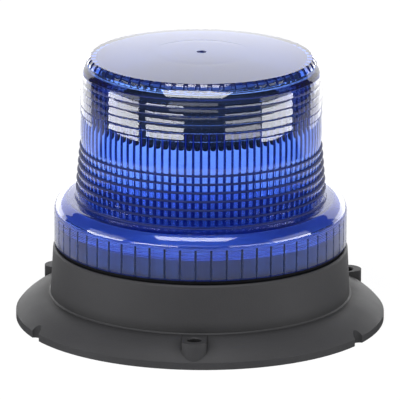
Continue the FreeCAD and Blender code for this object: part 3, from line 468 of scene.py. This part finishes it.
def lens_cuts(angles):
    """A function that says how far a row is drawn in to the axis at each angle, for its kind and height."""
    grip_run = 1 - off_middle(angles, GRIP_COUNT, COLLAR_RADIUS) / GRIP_HALF_WIDTH
    grip = GRIP_DEPTH * np.clip(grip_run, 0, 1)
    notch_run = NOTCH_HALF_WIDTH - off_middle(angles, GRIP_COUNT, CROWN_RADIUS)
    notch = NOTCH_DEPTH * np.clip(notch_run / NOTCH_EDGE + 0.5, 0, 1)
    sink = SINK_DEPTH * (0.5 + 0.5 * np.cos(FLUTE_COUNT * angles))
    flute_round = round_over(FLUTE_WIDTH / 2, FLUTE_RISE)
    across = np.minimum(off_middle(angles, FLUTE_COUNT, BORE_FOOT_RADIUS), FLUTE_WIDTH / 2)
    flute = np.sqrt(flute_round ** 2 - across ** 2) - (flute_round - FLUTE_RISE)
    depths = {"rim": grip, "grip": grip, "crown": notch}
    depths.update({kind: sink for kind in ("sink", "riser", "edge", "line")})
    depths.update({kind: flute for kind in (*FLUTE_FLANKS, "flute_end")})

    def cut(kind, height):
        if kind == "thread":
            wave = np.cos(TURN * height / THREAD_PITCH - THREAD_STARTS * angles)
            return THREAD_RISE * np.clip(wave + THREAD_CREST, 0, 1)
        return depths.get(kind, 0)

    return cut


def add_object(name, data):
    """A new object in the scene."""
    added = bpy.data.objects.new(name, data)
    bpy.context.scene.collection.objects.link(added)
    return added


def lathe_points(rows, angles, cut):
    """Points of rows turned about the upright axis, and where each row starts.

    A row at radius nought is a single point.
    """
    points = []
    starts = []
    for radius, height, kind in rows:
        starts.append(len(points))
        if radius == 0:
            points.append((0, 0, height * MM))
            continue
        reach = (radius - cut(kind, height)) * MM
        points += zip(reach * np.cos(angles), reach * np.sin(angles), np.full_like(angles, height * MM))
    return points, starts


def lathe_faces(rows, starts, turns):
    """Faces from each row to the next and from the last to the first, and the kind of each."""
    faces = []
    kinds = []
    for row, (radius, _, kind) in enumerate(rows):
        after = (row + 1) % len(rows)
        low, high = starts[row], starts[after]
        low_point = radius == 0
        high_point = rows[after][0] == 0
        if low_point and high_point:
            continue
        for step in range(turns):
            beyond = (step + 1) % turns
            kinds.append(kind)
            if low_point:
                faces.append((low, high + beyond, high + step))
            elif high_point:
                faces.append((low + step, low + beyond, high))
            else:
                faces.append((low + step, low + beyond, high + beyond, high + step))
    return faces, kinds


def lathe(name, rows, angles, cut):
    """A closed piece turned about the upright axis, and the kind of each of its faces."""
    points, starts = lathe_points(rows, angles, cut)
    faces, kinds = lathe_faces(rows, starts, len(angles))
    mesh = bpy.data.meshes.new(name)
    mesh.from_pydata(points, [], faces)
    mesh.validate()
    for polygon in mesh.polygons:
        polygon.use_smooth = True
    mesh.set_sharp_from_angle(angle=SHARP_CORNER)
    return add_object(name, mesh), kinds


class Finish:
    """A procedural material, with short ways to add nodes to it."""

    def __init__(self, name):
        self.material = bpy.data.materials.new(name)
        self.material.use_nodes = True
        self.nodes = self.material.node_tree.nodes
        self.links = self.material.node_tree.links
        self.shader = self.nodes["Principled BSDF"]
        self.output = self.nodes["Material Output"]
        self.place = self.add("TexCoord").outputs["Object"]
        self.colour = None
        self.bump = None

    def add(self, kind, inputs=None, **settings):
        """A new node. Its settings come first, as they decide which sockets it has."""
        node = self.nodes.new("ShaderNode" + kind)
        for name, value in settings.items():
            setattr(node, name, value)
        for socket, value in (inputs or {}).items():
            self.feed(node.inputs[socket], value)
        return node

    def feed(self, socket, value):
        """Links a socket to the output that feeds it, or gives it a fixed value."""
        if isinstance(value, bpy.types.NodeSocket):
            self.links.new(value, socket)
        else:
            socket.default_value = value

    def shade(self, name, value):
        """Feeds a socket of the main shader."""
        self.feed(self.shader.inputs[name], value)

    def cover(self, factor, other):
        """Shows another shader in place of the main one as the factor goes to one."""
        blend = self.add("MixShader", {"Fac": factor, 1: self.shader.outputs["BSDF"], 2: other})
        self.feed(self.output.inputs["Surface"], blend.outputs["Shader"])

    def calculate(self, operation, first, second):
        """The result of a sum with two values, kept between nought and one."""
        return self.add("Math", {0: first, 1: second}, operation=operation, use_clamp=True).outputs["Value"]

    def both(self, first, second):
        """A mask where both are one, or the first scaled by a number."""
        return self.calculate("MULTIPLY", first, second)

    def either(self, first, second):
        """The larger of the two at each place."""
        return self.calculate("MAXIMUM", first, second)

    def without(self, first, second):
        """The first mask, less the second."""
        return self.calculate("SUBTRACT", first, second)

    def length(self, vector):
        """The length of a vector."""
        return self.add("VectorMath", {0: vector}, operation="LENGTH").outputs["Value"]

    def axis(self, name):
        """The place on the object along one axis, in metres."""
        return self.add("SeparateXYZ", {"Vector": self.place}).outputs[name]

    def share(self, source, low, high):
        """A mask that is nought where the source is at low and one where it is at high."""
        return self.add("MapRange", {"Value": source, "From Min": low, "From Max": high}).outputs["Result"]

    def spread(self, source, low, high):
        """A source of nought to one, spread between two values."""
        return self.add("MapRange", {"Value": source, "To Min": low, "To Max": high}).outputs["Result"]

    def above(self, height):
        """A mask that is one above a height in millimetres and nought below."""
        return self.share(self.axis("Z"), (height - MASK_EDGE) * MM, (height + MASK_EDGE) * MM)

    def mix(self, factor, first, second, **settings):
        """A colour that goes from the first to the second as the factor goes to one."""
        inputs = {"Factor": factor, "A": first, "B": second}
        return self.add("Mix", inputs, data_type="RGBA", **settings).outputs["Result"]

    def noise(self, scale):
        """A noise of nought to one over the object."""
        inputs = {"Vector": self.place, "Scale": scale, "Detail": NOISE_DETAIL}
        return self.add("TexNoise", inputs).outputs["Fac"]

    def mottle(self, colour, scale, spread):
        """Gives a base colour that drifts a little over the surface."""
        ramp = self.add("ValToRGB", {"Fac": self.noise(scale)})
        for stop, position, level in zip(ramp.color_ramp.elements, MOTTLE_STOPS, (1 - spread, 1 + spread)):
            stop.position = position
            stop.color = [part * level for part in colour] + [1]
        self.colour = ramp.outputs["Color"]
        self.shade("Base Color", self.colour)

    def grain(self, scale, strength):
        """Gives the surface a fine grain."""
        inputs = {"Strength": strength, "Distance": GRAIN_DEPTH, "Height": self.noise(scale)}
        self.bump = self.add("Bump", inputs)
        self.shade("Normal", self.bump.outputs["Normal"])


def plain(name, colour, rough, metal=0.0, scale=60, spread=0.08, bump=0.1, bump_scale=900, shine=0.5):
    """A solid finish with drifting colour, uneven gloss and a fine grain."""
    finish = Finish(name)
    finish.mottle(colour, scale, spread)
    drift = finish.noise(scale * GLOSS_SCALE)
    finish.shade("Roughness", finish.spread(drift, rough * (1 - GLOSS_DRIFT), rough * (1 + GLOSS_DRIFT)))
    finish.shade("Metallic", metal)
    finish.shade("Specular IOR Level", shine)
    finish.grain(bump_scale, bump)
    return finish


def housing_finish():
    """Grained dark grey plastic with soft edges, painted shade in hollows and on the ledge, and a paler
    neck.
    """
    finish = plain("housing_grain", HOUSING_GREY, rough=0.55, scale=25, bump=0.3, bump_scale=1400, shine=0.1)
    # Painted shade: the ledge's top under the collar turns near black
    ledge = finish.mix(finish.above(LEDGE_FROM), finish.colour, LEDGE_PAINTED_SHADE)
    neck = finish.mix(finish.above(NECK_FROM), ledge, NECK_GREY)
    # Painted shade: ambient occlusion darkens hollows, holes and corners towards near black
    hollow = finish.add("AmbientOcclusion", samples=HOLLOW_SAMPLES, only_local=True)
    finish.feed(hollow.inputs["Distance"], HOLLOW_REACH)
    lit = finish.calculate("POWER", hollow.outputs["AO"], HOLLOW_POWER)
    finish.shade("Base Color", finish.mix(lit, HOLLOW_PAINTED_SHADE, neck))
    edge = finish.add("Bevel", {"Radius": SOFT_EDGE}, samples=SOFT_EDGE_SAMPLES)
    finish.feed(finish.bump.inputs["Normal"], edge.outputs["Normal"])
    return finish


def drum_finish():
    """White plastic with painted light and shade by height: near white at its upper edge and dark blue low
    down.
    """
    finish = plain("white_drum", (1, 1, 1), rough=0.45, spread=0.02)
    rise = finish.share(finish.axis("Z"), DRUM_FOOT * MM, DRUM_TOP * MM)
    # Painted light and shade: the white is multiplied by a ramp that is lit at the top and shaded below
    shade_ramp = finish.add("ValToRGB", {"Fac": rise})
    stops = shade_ramp.color_ramp.elements
    while len(stops) < len(DRUM_PAINTED_SHADE):
        stops.new(1.0)
    for stop, (height, shade) in zip(stops, DRUM_PAINTED_SHADE):
        stop.position = height / (DRUM_TOP - DRUM_FOOT)
        stop.color = (*shade, 1)
    finish.shade("Base Color", finish.mix(1.0, finish.colour, shade_ramp.outputs["Color"], blend_type="MULTIPLY"))
    return finish


def root_finish():
    """Painted shade on the sharp roots between the flutes, which turn the light aside and look dark."""
    return plain("lens_root", (0.014, 0.026, 0.15), rough=0.6, shine=0.1)


def groove_finish():
    """Painted shade in the grip grooves, as dark as they look with the grey neck behind them."""
    return plain("lens_groove", (0.026, 0.034, 0.075), rough=0.6, shine=0.05)


def line_finish():
    """Painted shade on the ring steps, the feet of collar, dome and flutes, and the shaded part of the
    notches.
    """
    return plain("lens_line", (0.005, 0.01, 0.065), rough=0.5, shine=0.15)


def frost_mask(finish):
    """A mask that is one on the inner faces of collar and shoulder and under the crown."""
    level = finish.add("VectorMath", {0: finish.place, 1: (1, 1, 0)}, operation="MULTIPLY")
    reach = finish.length(level.outputs["Vector"])
    collar = finish.calculate("LESS_THAN", reach, FROST_COLLAR_RADIUS * MM)
    collar = finish.without(collar, finish.above(FROST_COLLAR_TOP))
    crown = finish.calculate("LESS_THAN", reach, FROST_CROWN_RADIUS * MM)
    crown = finish.both(crown, finish.above(FROST_CROWN_FOOT))
    crown = finish.without(crown, finish.above(FROST_CROWN_TOP))
    return finish.either(collar, crown)


def clear_finish():
    """Clear plastic dyed blue through its thickness, in part frosted, and hazy at the foot of the dome."""
    finish = Finish("blue_lens")
    finish.shade("Base Color", (1, 1, 1, 1))
    finish.shade("Transmission Weight", 1.0)
    finish.shade("IOR", LENS_INDEX)
    gloss = finish.spread(finish.noise(LENS_DRIFT), *LENS_ROUGHNESS)
    frosted = finish.add("Mix", {"Factor": frost_mask(finish), "A": gloss, "B": FROST_ROUGHNESS})
    haze = finish.without(finish.above(HAZE_FOOT), finish.above(HAZE_TOP))
    haze = finish.both(haze, HAZE_ROUGHNESS)
    finish.shade("Roughness", finish.either(frosted.outputs["Result"], haze))
    path = finish.add("LightPath").outputs
    shadow = finish.add("BsdfTransparent", {"Color": LENS_SHADOW})
    finish.cover(path["Is Shadow Ray"], shadow.outputs["BSDF"])
    dye = finish.add("VolumeAbsorption", {"Color": LENS_DYE, "Density": LENS_DYE_DENSITY})
    finish.feed(finish.output.inputs["Volume"], dye.outputs["Volume"])
    return finish


def floor_finish():
    """A pale sheet on a dark table. To the camera all of it shows near white, and it keeps the shadow.

    The lens mirrors the floor behind the beacon and a strip round it, and shows the sheet through.
    """
    finish = plain("pale_floor", SHEET_GREY, rough=0.7, spread=0.01, bump=0.0, shine=0.0)
    path = finish.add("LightPath").outputs
    width, depth = SHEET_HALF_SIZE
    scaling = {"Location": (0, -SHEET_MIDDLE / depth, 0), "Scale": (1 / width, 1 / depth, 0)}
    scaled = finish.add("Mapping", {"Vector": finish.place, **scaling}).outputs["Vector"]
    sheet = finish.share(finish.length(scaled), *SHEET_EDGE)
    reach = finish.length(finish.place)
    behind = finish.axis("Y")
    strip = finish.both(finish.share(reach, *STRIP_INNER_EDGE), finish.share(reach, *STRIP_OUTER_EDGE))
    mirrored = finish.either(strip, finish.share(behind, *MIRRORED_BEHIND))
    mirrored = finish.both(finish.without(path["Is Glossy Ray"], path["Is Transmission Ray"]), mirrored)
    through = finish.both(path["Is Transmission Ray"], finish.share(behind, *SHEET_SEEN_THROUGH))
    in_lens = finish.either(mirrored, finish.both(through, sheet))
    seen = finish.either(path["Is Camera Ray"], in_lens)
    pale = finish.either(seen, finish.both(path["Is Diffuse Ray"], sheet))
    finish.shade("Base Color", finish.mix(pale, TABLE_GREY, finish.colour))
    white = finish.add("Emission")
    finish.cover(finish.both(seen, SEEN_WHITE), white.outputs["Emission"])
    return finish


def paint(node, finish):
    """Gives a node of the frame one finish."""
    slots = frame["nodes"][node].data.materials
    slots.clear()
    slots.append(finish.material)


def finish_nodes():
    """Paints each piece of the frame that is not replaced, and returns the finishes by slot."""
    finishes = {
        "housing": housing_finish(),
        "seal": plain("black_rubber", (0.003, 0.003, 0.0034), rough=0.75, shine=0.05),
        "drum": drum_finish(),
        "lid": plain("black_lid", (0.006, 0.006, 0.006), rough=0.7, shine=0.15),
        "tower": plain("drawn_aluminium", (0.7, 0.71, 0.73), rough=0.3, metal=1.0),
        "driver_board": plain("green_board", (0.02, 0.16, 0.06), rough=0.4),
        "light_board": plain("white_board", (0.8, 0.8, 0.79), rough=0.4, spread=0.03),
        "led": plain("led_dome", (0.85, 0.75, 0.35), rough=0.15, spread=0.04),
        "screw": plain("zinc_screw", (0.6, 0.6, 0.62), rough=0.3, metal=1.0),
        "terminal": plain("green_terminal", (0.03, 0.22, 0.1), rough=0.4),
        "capacitor": plain("capacitor_sleeve", (0.05, 0.05, 0.08), rough=0.35),
        "chip": plain("chip_case", (0.02, 0.02, 0.022), rough=0.5),
        "gland": plain("black_nylon", (0.02, 0.02, 0.021), rough=0.45),
    }
    for entry in frame["record"]["subparts"]:
        if entry["material_slot"] in finishes:
            paint(entry["node"], finishes[entry["material_slot"]])
    paint("lid_screw", finishes["lid"])
    return finishes


def lens_face_finish(face, kind):
    """Slot of the finish of one face of the lens, by its kind and its place round the axis."""
    angle = math.atan2(face.center.y, face.center.x)
    # The dark slots are painted shade on roots, grooves, ring steps, feet and notch walls
    if kind in DARK_KINDS:
        return LINE
    if kind == "grip" and off_middle(angle, GRIP_COUNT, COLLAR_RADIUS) < GRIP_HALF_WIDTH:
        return GROOVE
    if kind == "crown":
        past_side = off_middle(angle, GRIP_COUNT, CROWN_RADIUS) - NOTCH_HALF_WIDTH
        shaded = face.center.z > (CROWN_FOOT + CROWN_HEIGHT * NOTCH_SHADE) * MM
        return LINE if (past_side if shaded else abs(past_side)) < NOTCH_EDGE else CLEAR
    if kind in FLUTE_FLANKS and off_middle(angle, FLUTE_COUNT, BORE_FOOT_RADIUS) > FLUTE_FLANKS[kind]:
        return ROOT
    return CLEAR


def make_lens():
    """The lens with its rings, flutes, grooves and notches, in place of the frame's own."""
    angles = lens_angles()
    lens, kinds = lathe("lens", lens_outside() + lens_inside(), angles, lens_cuts(angles))
    for finish in (clear_finish(), root_finish(), groove_finish(), line_finish()):
        lens.data.materials.append(finish.material)
    for face, kind in zip(lens.data.polygons, kinds):
        face.material_index = lens_face_finish(face, kind)
    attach(lens, "lens")
    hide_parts("lens_dome")


def make_cove(finish):
    """The small moulded radius in the corner between wall and skirt."""
    angles = np.linspace(0, TURN, COVE_TURNS, endpoint=False)
    foot = (COVE_RADIUS + COVE_SIZE, COVE_FOOT)
    head = (COVE_RADIUS, COVE_FOOT + COVE_SIZE)
    sunk = COVE_RADIUS - COVE_SINK
    points = [(sunk, COVE_FOOT - COVE_SINK), foot, *arc(foot, head, -COVE_SIZE, COVE_STEPS), (sunk, head[1])]
    cove, _ = lathe("skirt_cove", rows_of(points), angles, lambda kind, height: 0)
    cove.data.materials.append(finish.material)
    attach(cove, "base")


def make_camera():
    """A long lens a little above the beacon."""
    camera_data = bpy.data.cameras.new("camera")
    camera_data.sensor_width = SENSOR
    camera_data.lens = FOCAL_PIXELS / FRAME_PIXELS * SENSOR
    camera = add_object("camera", camera_data)
    sideways = CAMERA_DISTANCE * math.sin(CAMERA_AZIMUTH)
    forward = CAMERA_DISTANCE * math.cos(CAMERA_AZIMUTH)
    camera.location = (sideways, -forward, CAMERA_HEIGHT)
    aim = Vector(CAMERA_AIM) - camera.location
    camera.rotation_euler = aim.to_track_quat("-Z", "Y").to_euler()
    camera.rotation_euler.rotate_axis("Z", CAMERA_ROLL)
    bpy.context.scene.camera = camera


def make_lamp(name, azimuth, elevation, distance, size, radiance):
    """A rectangular lamp, seen from the lens at an azimuth from the front to the right and an elevation."""
    lamp_data = bpy.data.lights.new(name, "AREA")
    lamp_data.shape = "RECTANGLE"
    lamp_data.size, lamp_data.size_y = size
    lamp_data.energy = radiance * math.pi * size[0] * size[1]
    lamp = add_object(name, lamp_data)
    lamp.visible_camera = False
    turn, lift = math.radians(azimuth), math.radians(elevation)
    way = Vector((math.sin(turn) * math.cos(lift), -math.cos(turn) * math.cos(lift), math.sin(lift)))
    lamp.location = Vector(LAMP_AIM) + way * distance
    lamp.rotation_euler = (-way).to_track_quat("-Z", "Y").to_euler()


def make_floor():
    """The floor that the beacon stands on."""
    bpy.ops.mesh.primitive_plane_add(size=FLOOR_SIZE)
    floor = bpy.context.object
    floor.name = "floor"
    floor.data.materials.append(floor_finish().material)


def make_light():
    """Plain white surroundings and the lamps."""
    world = bpy.data.worlds.new("studio")
    bpy.context.scene.world = world
    world.use_nodes = True
    background = world.node_tree.nodes["Background"]
    background.inputs["Color"].default_value = (1, 1, 1, 1)
    background.inputs["Strength"].default_value = WORLD_STRENGTH
    for name, values in LAMPS.items():
        make_lamp(name, **values)


finishes = finish_nodes()
make_lens()
make_cove(finishes["housing"])
make_camera()
make_floor()
make_light()
bpy.context.scene.view_settings.view_transform = "Standard"
